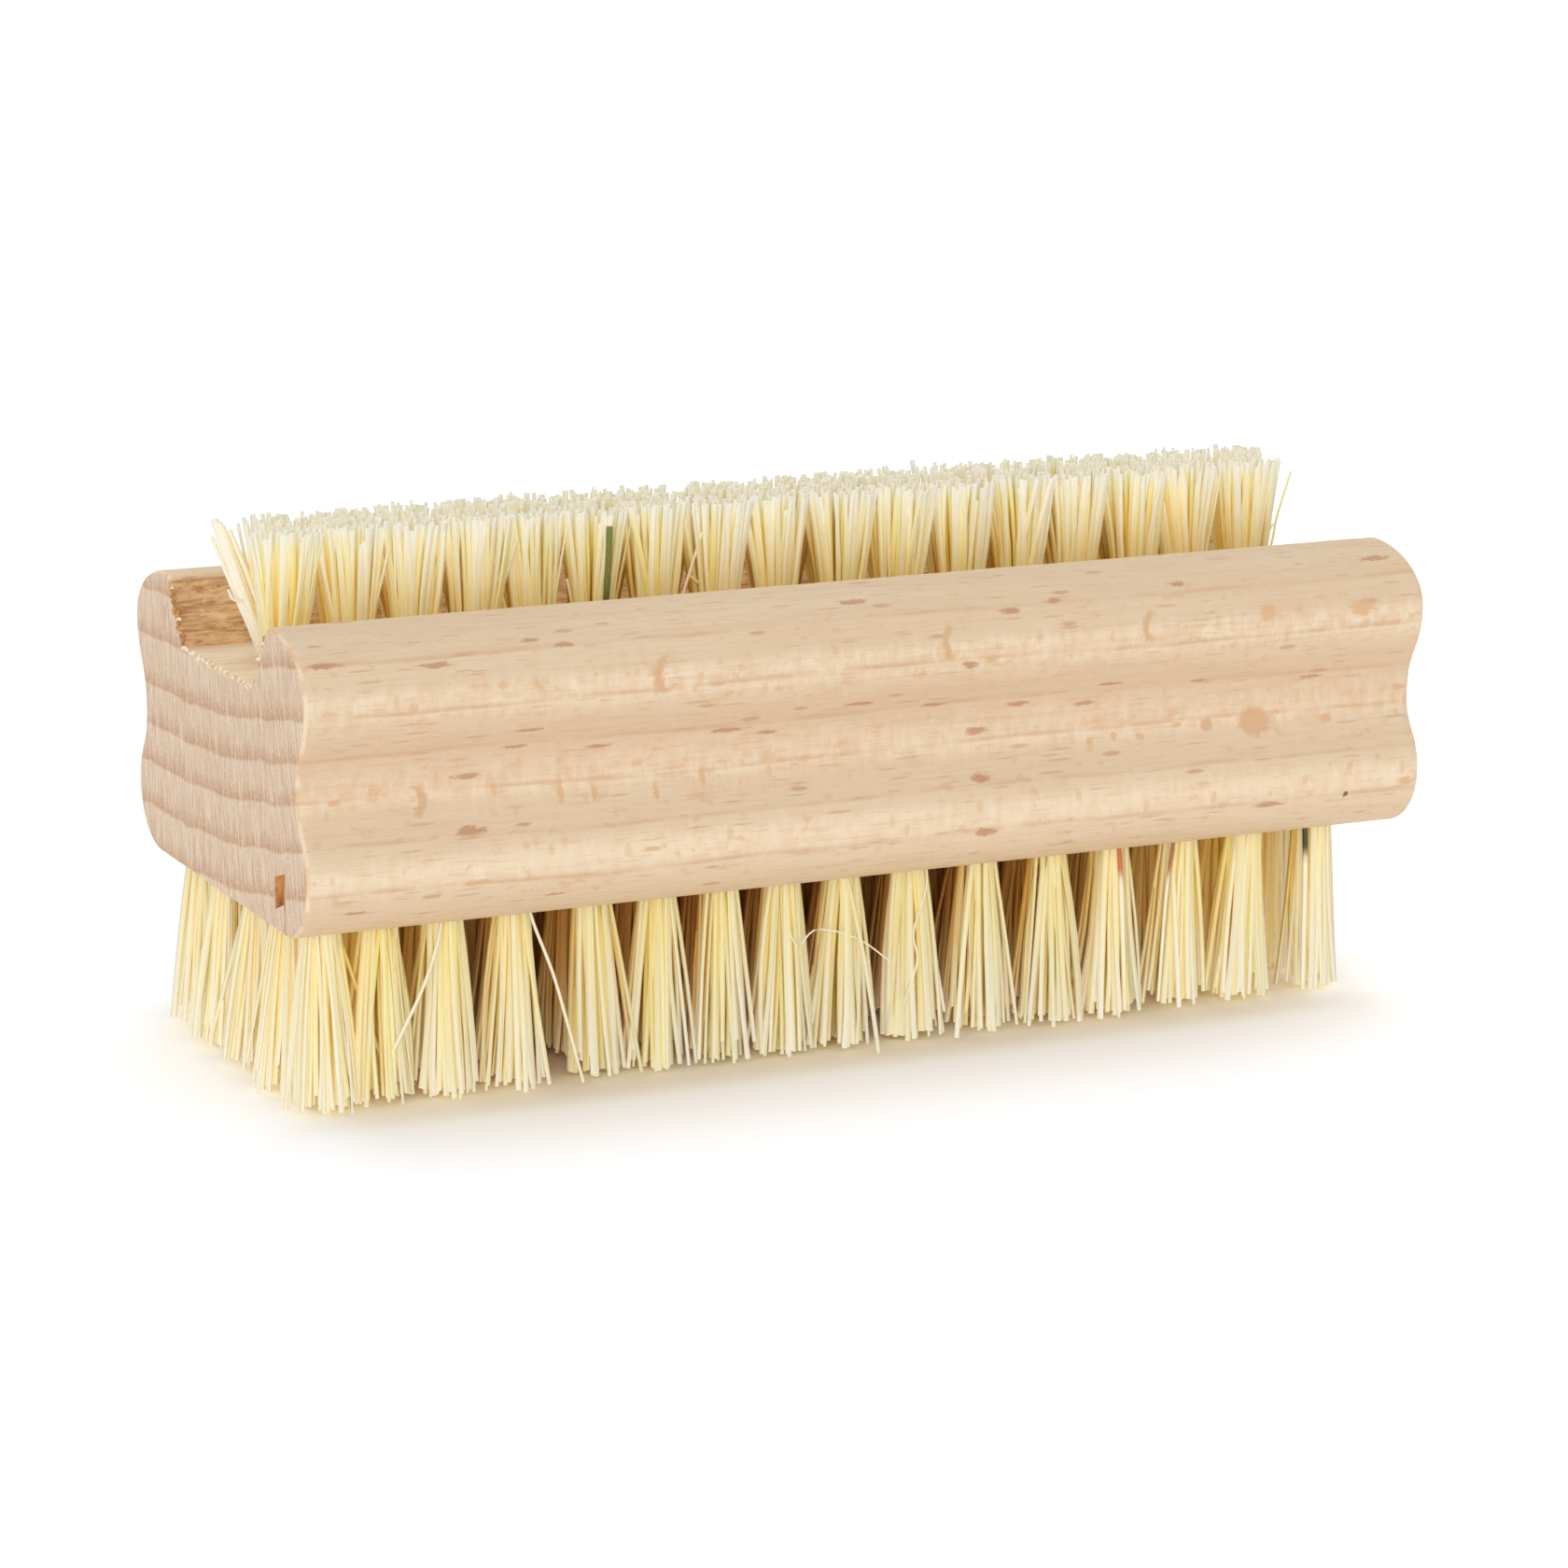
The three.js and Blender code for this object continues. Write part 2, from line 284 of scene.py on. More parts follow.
def beech_material():
    """Beech: cream bands between growth lines, rays as dashes, bars and flecks, and streaked end grain."""
    material, tree = new_material("beech")
    x, y, z, around, radius = grain_place(tree)
    here, where = vector(tree, x, y, z), (x, around, radius)

    wander = grain_noise(tree, *where, 30, 7, 60, 3)
    wander = times(tree, minus(tree, wander, 0.5), 1.6)
    out = minus(tree, calc(tree, "ADD", radius, wander), RING_START)
    bands, lines = [], []
    for edge in RING_EDGES:
        at = edge - RING_START
        bands += [(at - 1.3, 0.3), (at - 0.1, 0.95), (at + 0.12, 0.08)]
        lines += [(at - 0.4, 0), (at - 0.06, 1), (at + 0.1, 0)]
    ring, ring_line = (ramp(tree, calc(tree, "DIVIDE", out, RING_SPAN),
                            [(place / RING_SPAN, (value, value, value, 1.0)) for place, value in stops])
                       for stops in (bands, lines))

    fibre = grain_noise(tree, *where, 10, 0.3, 0.3, 4, 0.6)
    cloud = grain_noise(tree, *where, 24, 6, 4, 2)
    ladder = grain_noise(tree, *where, 0.75, 0.6, 2.2, 2, 0.6)
    spots = grain_noise(tree, *where, 1.3, 0.5, 1.1, 2)
    pores = grain_noise(tree, *where, 2.4, 0.14, 0.14, 1)
    breaks = grain_noise(tree, *where, 6, 3, 3, 2)
    patches = grain_noise(tree, *where, 2.6, 1.8, 1.5, 2)
    rays = specks(tree, x, y, z, (1.3, 0.4, 0.3), 0.2, 0.34)
    small_rays = specks(tree, x, z, y, (1.6, 0.15, 0.17), 0.5, 0.36)
    upright = specks(tree, x, y, z, (0.42, 0.8, 0.85), 0.4, 0.34)

    sides = add(tree, "SeparateXYZ", {0: add(tree, "NewGeometry").outputs["Normal"]})
    lengthwise = calc(tree, "ABSOLUTE", sides.outputs[0])
    level = calc(tree, "ABSOLUTE", sides.outputs[2])
    end = fade(tree, lengthwise, 0.75, 0.97)
    not_end = minus(tree, 1.0, end)
    eased = times(tree, fade(tree, lengthwise, 0.1, 0.5), not_end)
    # Rays show as dark dashes where they meet the surface squarely, and as pale bars where they lie in it
    meets = fade(tree, level, 0.04, 0.34)
    bars = calc(tree, "MULTIPLY_ADD", fade(tree, level, 0.55, 0.15), 0.32, 0.1)
    dash = mix(tree, meets, (222, 174, 126), (186, 128, 90))
    plain = calc(tree, "MULTIPLY_ADD", meets, 0.3, 0.35)
    bulge = times(tree, fade(tree, z, 25.0, 21.5), fade(tree, z, 15.0, 17.5))
    grip = times(tree, fade(tree, z, 31.0, 28.5), fade(tree, z, 24.0, 26.0))
    front = fade(tree, y, -12, -15)
    wobble = calc(tree, "MULTIPLY_ADD", fractal(tree, here, 3, 0.6, 1.6), 0.9, -0.45)
    ragged = fractal(tree, vector(tree, times(tree, x, 1.6), y, times(tree, z, 4.0)), 3, 0.6)
    blur = calc(tree, "MULTIPLY_ADD", ragged, 1.6, -0.8)

    def marked(marks):
        return times(tree, fade(tree, calc(tree, "ADD", nearest(tree, x, z, marks), blur), 1.05, 0.5), front)

    long_grain = layered(
        tree, (239, 216, 185),
        # Growth bands, clouds and long fibres
        (ring, 0.4, (222, 189, 154)),
        (fade(tree, cloud, 0.4, 0.65), 0.5, (231, 201, 166)),
        (fade(tree, fibre, 0.45, 0.7), 0.34, (214, 173, 134)),
        # Bars of the rays, pale and dark
        (fade(tree, ladder, 0.46, 0.66), bars, (247, 229, 202)),
        (fade(tree, ladder, 0.46, 0.3), bars, (228, 190, 148)),
        (fade(tree, patches, 0.5, 0.64), times(tree, bars, 0.6), (247, 230, 204)),
        # The lower bulge is paler and the finger grip darker: partly the wood's tone, partly painted light on
        # the bulge and painted shade in the grip
        (bulge, 0.3, (252, 231, 201)),
        (grip, 0.3, (211, 174, 138)),
        # Upright flecks, spots, pores and growth lines
        (upright, bars, (224, 176, 122)),
        (fade(tree, spots, 0.6, 0.72), 0.5, (224, 174, 124)),
        (fade(tree, pores, 0.6, 0.74), 0.3, (202, 160, 122)),
        (times(tree, ring_line, fade(tree, breaks, 0.35, 0.62)), 0.55, (204, 154, 108)),
        # Ray ends
        (small_rays, times(tree, plain, 0.7), dash),
        (rays, plain, dash),
        # The front's own marks, under and over a darker tone for faces that look up or down: partly the rays'
        # ends, partly painted shade
        *((times(tree, fleck(tree, x, z, wobble, mark), front), 0.85, (218, 171, 126)) for mark in FLECKS),
        (meets, 0.36, (211, 181, 146)),
        (marked(SPOTS), 0.8, (221, 176, 130)),
        (marked(DASHES), 0.8, (192, 138, 100)))

    # End grain, and the rubbed edge around it, partly a painted highlight
    streaks = grain_noise(tree, *where, 60, 0.16, 3.0, 3, 0.65)
    flour = grain_noise(tree, *where, 60, 0.22, 0.3, 2, 0.6)
    end_grain = layered(
        tree, mix(tree, ring, (236, 210, 181), (201, 152, 108)),
        (fade(tree, streaks, 0.51, 0.62), 0.62, (192, 144, 106)),
        (fade(tree, streaks, 0.48, 0.38), 0.55, (250, 232, 208)),
        (fade(tree, flour, 0.56, 0.68), 0.5, (252, 238, 220)))
    # Rubbed edge: orange worn long grain, and a pale painted highlight
    rubbed_and_highlight = mix(tree, fade(tree, breaks, 0.42, 0.56), (250, 232, 206), (230, 180, 124))
    wood = layered(tree, mix(tree, end, long_grain, end_grain), (eased, 0.5, rubbed_and_highlight))

    # Saw-cut groove: orange-brown walls with dark streaks, and a paler floor
    slope = (GROOVE_MOUTH - GROOVE_FLOOR) / 2 / (GROOVE_DEPTH - LIP_ROUND)
    beside = calc(tree, "ABSOLUTE", y)
    wall_y = calc(tree, "MULTIPLY_ADD", minus(tree, z, FLOOR), slope, GROOVE_FLOOR / 2)
    in_groove = fade(tree, minus(tree, beside, wall_y), 0.3, 0.1)
    for mask in (fade(tree, z, FLOOR - 0.35, FLOOR - 0.1), not_end, fade(tree, z, TOP - 0.35, TOP - 0.7)):
        in_groove = times(tree, in_groove, mask)
    torn = grain_noise(tree, *where, 3.6, 0.5, 0.4, 5, 0.7)
    gouge = grain_noise(tree, *where, 1.7, 1.2, 0.9, 4, 0.65)
    reach = calc(tree, "MULTIPLY_ADD", fade(tree, calc(tree, "ABSOLUTE", x), 43, 47), 0.08, -0.04)
    gouge = calc(tree, "ADD", gouge, reach)
    wall = layered(
        tree, mix(tree, fade(tree, torn, 0.36, 0.66), (230, 187, 132), (180, 128, 80)),
        (fade(tree, gouge, 0.53, 0.64), 0.75, (164, 106, 66)),
        (fade(tree, gouge, 0.47, 0.38), 0.6, (240, 206, 160)))
    floor = layered(
        tree, mix(tree, fade(tree, torn, 0.4, 0.7), (246, 227, 199), (228, 198, 158)),
        # Darker towards the walls' feet: partly the floor's own colour, partly painted shade
        (fade(tree, beside, GROOVE_FLOOR / 2 - 3.0, GROOVE_FLOOR / 2), 0.7, (212, 178, 138)))
    wood = mix(tree, in_groove, wood, mix(tree, fade(tree, level, 0.8, 0.95), wall, floor))

    # One dark speck in the front
    apart = add(tree, "VectorMath", {0: here, 1: (40.7, -19.2, BASE + 3.6)}, operation="DISTANCE")
    speck = times(tree, fractal(tree, here, 3, 0.6, 3.0), 0.5)
    speck = calc(tree, "ADD", apart.outputs["Value"], speck)
    wood = mix(tree, fade(tree, speck, 0.55, 0.4), wood, (120, 96, 72))

    height = calc(tree, "ADD", times(tree, fibre, 0.5), times(tree, pores, 0.35))
    height = calc(tree, "ADD", height, times(tree, streaks, times(tree, end, 1.2)))
    height = calc(tree, "ADD", height, times(tree, torn, times(tree, in_groove, 3.0)))
    roughness = calc(tree, "MULTIPLY_ADD", fibre, 0.2, 0.45)
    surface(tree, wood, roughness, height, 0.00012, 0.55)
    return material


def torn_material():
    """Raw wood where a chip has broken out of the end."""
    material, tree = new_material("torn_beech")
    x, _, _, around, radius = grain_place(tree)
    split = grain_noise(tree, x, around, radius, 1.5, 0.25, 1.2, 4, 0.65)
    colour = mix(tree, fade(tree, split, 0.35, 0.7), (226, 172, 108), (172, 112, 62))
    surface(tree, colour, 0.75, split, 0.0002, 0.8)
    return material


def crumb_material():
    """Loose pale wood along a sawn edge."""
    material, tree = new_material("crumbs")
    speckle = fractal(tree, vector(tree, *grain_place(tree)[:3]), 3, 0.6, 2.4)
    colour = mix(tree, fade(tree, speckle, 0.4, 0.62), (253, 243, 224), (226, 188, 142))
    surface(tree, colour, 0.8, speckle, 0.00006, 0.6)
    return material


def fibre_material():
    """Plant fibre: each strand's cream or yellow, with the painted shade and light of its tint, and faint
    streaks along it.
    """
    material, tree = new_material("fibre")
    tint = add(tree, "VertexColor", layer_name="tint").outputs["Color"]
    streak = fractal(tree, place_of(tree, 9000, 9000, 500), 3, 0.6)
    colour = layered(tree, tint, (fade(tree, streak, 0.45, 0.75), 0.2, (238, 212, 140)))
    surface(tree, colour, calc(tree, "MULTIPLY_ADD", streak, 0.25, 0.4), streak, 0.00004, 0.4)
    return material


def wire_material():
    """Drawn steel wire, with faint lines along it."""
    material, tree = new_material("anchor_wire")
    lines = fractal(tree, place_of(tree, 700, 9000, 9000), 3, 0.6)
    colour = mix(tree, lines, (196, 196, 192), (150, 150, 146))
    shader = surface(tree, colour, calc(tree, "MULTIPLY_ADD", lines, 0.25, 0.25), lines, 0.00003, 0.4)
    shader.inputs["Metallic"].default_value = 1.0
    return material


BEECH = beech_material()
TORN = torn_material()
CRUMB = crumb_material()
FIBRE = fibre_material()
WIRE = wire_material()


def piece(name, points, faces, materials):
    mesh = bpy.data.meshes.new(name)
    mesh.from_pydata((np.asarray(points) * MM).tolist(), [], faces)
    for material in materials:
        mesh.materials.append(material)
    obj = bpy.data.objects.new(name, mesh)
    SCENE.collection.objects.link(obj)
    return obj


# Beech block

def bezier(points, steps):
    t = np.linspace(0, 1, steps, endpoint=False)[:, None]
    layers = [np.asarray(p, float) for p in points]
    while len(layers) > 1:
        layers = [a + (b - a) * t for a, b in zip(layers, layers[1:])]
    return layers[0]


def arc(middle, wide, tall, start, end, steps):
    angle = np.radians(np.linspace(start, end, steps, endpoint=False))
    return np.stack([middle[0] + wide * np.cos(angle), middle[1] + tall * np.sin(angle)], 1)


def half_section():
    """Outline of one side, out from the middle of the underside and back to the middle of the groove, with
    the rounding of each point's end edge and how rough the saw left it."""
    half, flat = BLOCK_WIDTH / 2, BASE_WIDTH / 2
    upper = BLOCK_HEIGHT - UPPER_BULGE_DROP
    waist = half - GRIP_DEPTH
    grip = (LOWER_BULGE_RISE + upper) / 2 - GRIP_DROP
    low_ease, high_ease = (grip - LOWER_BULGE_RISE) / 2, (upper - grip) / 2
    mouth, lip = GROOVE_MOUTH / 2, GROOVE_MOUTH / 2 + LIP_ROUND
    foot, deep = BLOCK_HEIGHT - LIP_ROUND, BLOCK_HEIGHT - GROOVE_DEPTH
    floor = GROOVE_FLOOR / 2
    runs = [
        (bezier([(0, 0), (flat, 0)], 20), END_EASE, 0),
        (arc((flat, LOWER_BULGE_RISE), half - flat, LOWER_BULGE_RISE, -90, 0, 14), END_EASE, 0),
        (bezier([(half, LOWER_BULGE_RISE), (half, LOWER_BULGE_RISE + low_ease), (waist, grip - low_ease),
                 (waist, grip)], 12), END_EASE, 0),
        (bezier([(waist, grip), (waist, grip + high_ease), (half, upper - high_ease), (half, upper)], 13),
         END_EASE, 0),
        (arc((lip, upper), half - lip, UPPER_BULGE_DROP, 0, 90, 18), END_EASE, 0),
        (bezier([(lip, BLOCK_HEIGHT), (mouth, BLOCK_HEIGHT), (mouth, foot)], 5), END_EASE, 0.2),
        (bezier([(mouth, foot), (floor, deep)], 16), GROOVE_EASE, 1),
        (bezier([(floor, deep), (0, deep)], 14), GROOVE_EASE, 0.25),
        (np.array([(0, deep)]), GROOVE_EASE, 0.25),
    ]
    outline = np.vstack([r[0] for r in runs])
    ease = np.concatenate([np.full(len(r[0]), r[1]) for r in runs])
    rough = np.concatenate([np.full(len(r[0]), float(r[2])) for r in runs])
    return outline, ease, rough


def block_mesh():
    outline, ease, rough = half_section()
    loop = np.vstack([outline * (-1, 1), outline[-2:0:-1]])
    count = len(loop)
    ease = np.concatenate([ease, ease[-2:0:-1]])
    rough = np.concatenate([rough, rough[-2:0:-1]])
    along = np.roll(loop, -1, 0) - np.roll(loop, 1, 0)
    outward = np.stack([-along[:, 1], along[:, 0]], 1)
    outward /= np.linalg.norm(outward, axis=1)[:, None]
    if ((loop - (0, BLOCK_HEIGHT / 3)) * outward).sum() < 0:
        outward = -outward
    run = np.concatenate([[0], np.cumsum(np.linalg.norm(np.diff(loop, axis=0), axis=1))])

    half = HALF_LENGTH
    turns = np.radians(np.linspace(0, 90, EASE_STEPS))
    stations = []
    for turn in turns[::-1]:
        stations.append((-half + ease * (1 - np.sin(turn)), ease * (1 - np.cos(turn))))
    for x in np.linspace(-half + 1.0, half - 1.0, STATIONS):
        stations.append((np.full(count, x), np.zeros(count)))
    for turn in turns:
        stations.append((half - ease * (1 - np.sin(turn)), ease * (1 - np.cos(turn))))

    points = []
    for x, inset in stations:
        lift = np.zeros(count)
        for i in np.nonzero(rough)[0]:
            ridge = noise.fractal(Vector((x[i] * 0.12, run[i] * 1.5, 3.0)), 0.6, 2.0, 4)
            tear = noise.noise(Vector((x[i] * 0.6, run[i] * 0.9, 9.0)))
            lift[i] = rough[i] * (0.1 * ridge + 0.06 * tear)
        section = loop + outward * (lift - inset)[:, None]
        points.append(np.column_stack([x, section[:, 0], section[:, 1] + BASE]))
    points = np.vstack(points)
    faces = []
    for s in range(len(stations) - 1):
        a, b = s * count, (s + 1) * count
        for i in range(count):
            j = (i + 1) % count
            faces.append((a + i, a + j, b + j, b + i))
    last = (len(stations) - 1) * count
    faces.append(tuple(range(count))[::-1])
    faces.append(tuple(last + i for i in range(count)))
    return points, faces


def prism(outline, low, high):
    """Closed prism on a corner list in x and y, between two heights."""
    n = len(outline)
    points = [(px, py, low) for px, py in outline] + [(px, py, high) for px, py in outline]
    faces = [tuple(range(n))[::-1], tuple(range(n, 2 * n))]
    faces += [(i, (i + 1) % n, n + (i + 1) % n, n + i) for i in range(n)]
    return points, faces


def joined(parts):
    points, faces = [], []
    for more_points, more_faces in parts:
        start = len(points)
        points += list(more_points)
        faces += [tuple(start + i for i in f) for f in more_faces]
    return points, faces


def cut_away(target, cutter):
    step = target.modifiers.new("cut", "BOOLEAN")
    step.operation = "DIFFERENCE"
    step.solver = "MANIFOLD"
    step.object = cutter
    bpy.context.view_layer.update()
    result = target.evaluated_get(bpy.context.evaluated_depsgraph_get())
    mesh = bpy.data.meshes.new_from_object(result)
    target.modifiers.clear()
    target.data = mesh
    bpy.data.objects.remove(cutter)


def outward_faces(obj):
    work = bmesh.new()
    work.from_mesh(obj.data)
    bmesh.ops.recalc_face_normals(work, faces=work.faces)
    work.to_mesh(obj.data)
    work.free()


def tuft_places(front_x, rows, row_pitch, column_pitch, stagger, along, across, jitter):
    """Where one side's tufts stand: a list of (x, y) for each row, the front row first."""
    columns = len(front_x)
    places = []
    for row in range(rows):
        y = (row - (rows - 1) / 2) * row_pitch
        grid = FIELD_SHIFT + (np.arange(columns) - (columns - 1) / 2) * column_pitch + row * stagger
        xs = np.array(front_x) if row == 0 else grid + jitter.uniform(-along, along, columns)
        places.append([(x, y + jitter.uniform(-across, across)) for x in xs])
    return places


JITTER = np.random.default_rng(11)
UPPER_PLACES = tuft_places(UPPER_FRONT_X, UPPER_ROWS, UPPER_ROW_PITCH, UPPER_COLUMN_PITCH, UPPER_STAGGER,
                           0.2, 0.15, JITTER)
LOWER_PLACES = tuft_places(LOWER_FRONT_X, LOWER_ROWS, LOWER_ROW_PITCH, LOWER_COLUMN_PITCH, 0,
                           0.3, 0.05, JITTER)


def cut_with(block, name, points, faces, material):
    cutter = piece(name, points, faces, [material])
    outward_faces(cutter)
    cut_away(block, cutter)


def make_block():
    block = piece("block", *block_mesh(), [BEECH, TORN])
    outward_faces(block)
    ring = np.radians(np.arange(HOLE_SIDES) * 360 / HOLE_SIDES)
    circle = np.stack([np.cos(ring), np.sin(ring)], 1) * HOLE_DIAMETER / 2
    holes = []
    for x, y in sum(UPPER_PLACES, []):
        holes.append(prism(circle + (x, y), FLOOR - HOLE_DEPTH, FLOOR + OVERCUT))
    for x, y in sum(LOWER_PLACES, []):
        holes.append(prism(circle + (x, y), BASE - OVERCUT, BASE + HOLE_DEPTH))
    cut_with(block, "hole_cutter", *joined(holes), BEECH)
    end = -HALF_LENGTH
    for name, outline, depth in (("chip_cutter", CHIP, CHIP_DEPTH), ("crack_cutter", CRACK, CRACK_DEPTH)):
        points, faces = prism(outline, end - OVERCUT, end + depth)
        cut_with(block, name, [(x, y, BASE + z) for y, z, x in points], faces, TORN)

    mesh = block.data
    mesh.shade_smooth()
    mesh.set_sharp_from_angle(angle=math.radians(SHARP_EDGE))
    slack = 0.01
    left, low = np.min(CHIP + CRACK, 0)
    right, high = np.max(CHIP + CRACK, 0)
    chip_low, crack_right = np.min(CHIP, 0)[1], np.max(CRACK, 0)[0]
    for face in mesh.polygons:
        x, y, z = face.center / MM - Vector((0, 0, BASE))
        if abs(face.normal.x) > 0.999 and abs(x) > HALF_LENGTH - slack:
            face.use_smooth = False
        inside = left - slack < y < right + slack and low < z < high + slack
        inside = inside and (z > chip_low - slack or y < crack_right)
        if inside and end + slack < x < end + CHIP_DEPTH + 2 * slack:
            face.material_index = 1
            face.use_smooth = False
    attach(block, "root")
    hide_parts("beech_block")


def crumbs():
    """Small uneven grains along the sawn edges of the groove, at both ends."""
    rng = np.random.default_rng(21)
    shape = bmesh.new()
    bmesh.ops.create_icosphere(shape, subdivisions=1, radius=1.0)
    grain = np.array([v.co[:] for v in shape.verts])
    faces = [tuple(v.index for v in f.verts) for f in shape.faces]
    shape.free()
    foot, mouth = GROOVE_FLOOR / 2, GROOVE_MOUTH / 2
    floor_step, wall_step, overhang = 0.5, 0.06, 0.15
    pale, brown = [], []
    for end in (-1, 1):
        for y in np.arange(-foot + 0.2, foot, floor_step):
            place = (end * (HALF_LENGTH - 0.02), y + rng.normal(0, 0.12), FLOOR + rng.normal(-0.04, 0.07))
            pale.append((place, rng.uniform(0.17, 0.36)))
        for side in (-1, 1):
            for t in np.arange(0.03, 0.97, wall_step):
                y = side * (foot + (mouth - foot) * t)
                place = (end * (HALF_LENGTH - rng.uniform(0.0, 0.3)), y + rng.normal(0, 0.09),
                         FLOOR + (GROOVE_DEPTH - LIP_ROUND) * t + rng.normal(0, 0.14))
                (brown if rng.random() < 0.6 else pale).append((place, rng.uniform(0.14, 0.36)))
    for name, grains, material in (("pale_crumbs", pale, CRUMB), ("brown_crumbs", brown, TORN)):
        parts = []
        for place, size in grains:
            stretch = rng.uniform(0.6, 1.3, 3) * (0.7, 1.2, 0.9)
            points = grain * stretch * size * rng.uniform(0.75, 1.2, (len(grain), 1)) + place
            points[:, 0] = np.clip(points[:, 0], -HALF_LENGTH - overhang, HALF_LENGTH + overhang)
            parts.append((points, faces))
        obj = piece(name, *joined(parts), [material])
        outward_faces(obj)
        obj.data.shade_smooth()
        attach(obj, "root")


# Fibres

CREAM = linear(253, 247, 220)
YELLOW = linear(251, 241, 192)
PALE = linear(254, 249, 232)
STRAW = linear(246, 238, 166)
# Painted shade: what is left of a fibre's colour where others shade its root, deep in the field and near the
# field's ends
BROWN = {"upper": np.array((0.62, 0.39, 0.07)), "lower": np.array((0.72, 0.37, 0.1))}
AMBER = np.array((0.98, 0.83, 0.38))
SHADE_RUN = 0.9, 2.6  # from the field's edges, where that shade starts and is full
DEEP_FROM, DEEP_TO = 2, {"upper": 14, "lower": 30}  # from the field's ends
DEEP_DARKER = 0.05  # painted shade on lower fibres deep in the field
TIPS_CLEAR = {"upper": 1.0, "lower": 0.7}  # share of that shade which is gone at the tips
GOLDEN = {"upper": np.array((0.98, 0.89, 0.5)), "lower": np.array((0.99, 0.93, 0.65))}  # at every root: partly the roots' own colour, partly painted shade
INNER, INNER_RUN = np.array((0.99, 0.945, 0.6)), (0.82, 0.45)  # painted shade in the middle of a tuft, where the others shade it
END_PAINTED_LIGHT, END_PAINTED_LIGHT_RUN = 0.3, (0.6, 3.2)  # painted light: share of PALE in lower fibres at the field's ends
PALE_TIPS_AND_LIGHT = {"upper": np.array((0.25, 0.9)), "lower": np.array((0.1, 0.3))}  # share of PALE, last two rings: paler cut ends, partly painted light on the tips
END_FANS = {"upper": (1.0, 0.76), "lower": (1.2, 0.72)}  # of a row's first and last tuft, to the others' fan
CORE = 0.5  # share of an outer tuft's fibres that shade the others; light passes between the rest

# Fibres of a tuft. A spread is a standard deviation
FIBRE_STEPS = np.array([0.0, 0.25, 0.5, 0.75, 0.9, 1.0])  # rings, from the hole's mouth to the tip
FIBRE_TAPER = np.array([0.95, 1, 1.02, 1, 0.97, 0.96, 0.94])  # at each ring, the one in the hole first
FIBRE_RADIUS, RADIUS_SPREAD, RADIUS_LIMITS = 0.21, 0.05, (0.11, 0.31)
ROOT_DEPTH, ROOT_PINCH, ROOT_SPREAD = 3.2, 0.97, 0.05
GOLDEN_ANGLE, TURN_SPREAD = 2.39996, 0.2
FAN_SPREAD, FIBRE_FAN_SPREAD = 0.12, 0.2
TIP_SPREAD, LEAN_SPREAD, BOW_SPREAD = 0.28, 0.25, 0.14
WILD_SHARE, WILD_SPREAD = 0.07, 0.9  # fibres that stick out
TRIM_SPREAD, TUFT_TRIM_SPREAD = 0.4, 0.2  # how much shorter a fibre or a whole tuft is
BROKEN_SHARE, BROKEN_LENGTHS = 0.09, (0.4, 2.4)
UPPER_TRIM, UPPER_EVEN = 0.4, 0.5  # upper tips are cut more evenly
UPPER_SPARE = 0.5  # length of upper fibres before they are trimmed
NORMAL_SHARES = 0.75, 0.65, 0.5  # in a fibre's shading: its own round, the tuft's outside, the tips' way


def fibre_tints(count, rng):
    pick = rng.random(count)
    tints = np.where((pick < 0.5)[:, None], CREAM, YELLOW)
    tints = np.where((pick > 0.7)[:, None], PALE, tints)
    tints = np.where((pick > 0.95)[:, None], STRAW, tints)
    blend = rng.uniform(0, 0.5, count)[:, None]
    tints = tints * (1 - blend) + CREAM * blend
    return tints * rng.uniform(0.93, 1.02, count)[:, None]


def smooth(value, start, end):
    t = np.clip((value - start) / (end - start), 0, 1)
    return t * t * (3 - 2 * t)


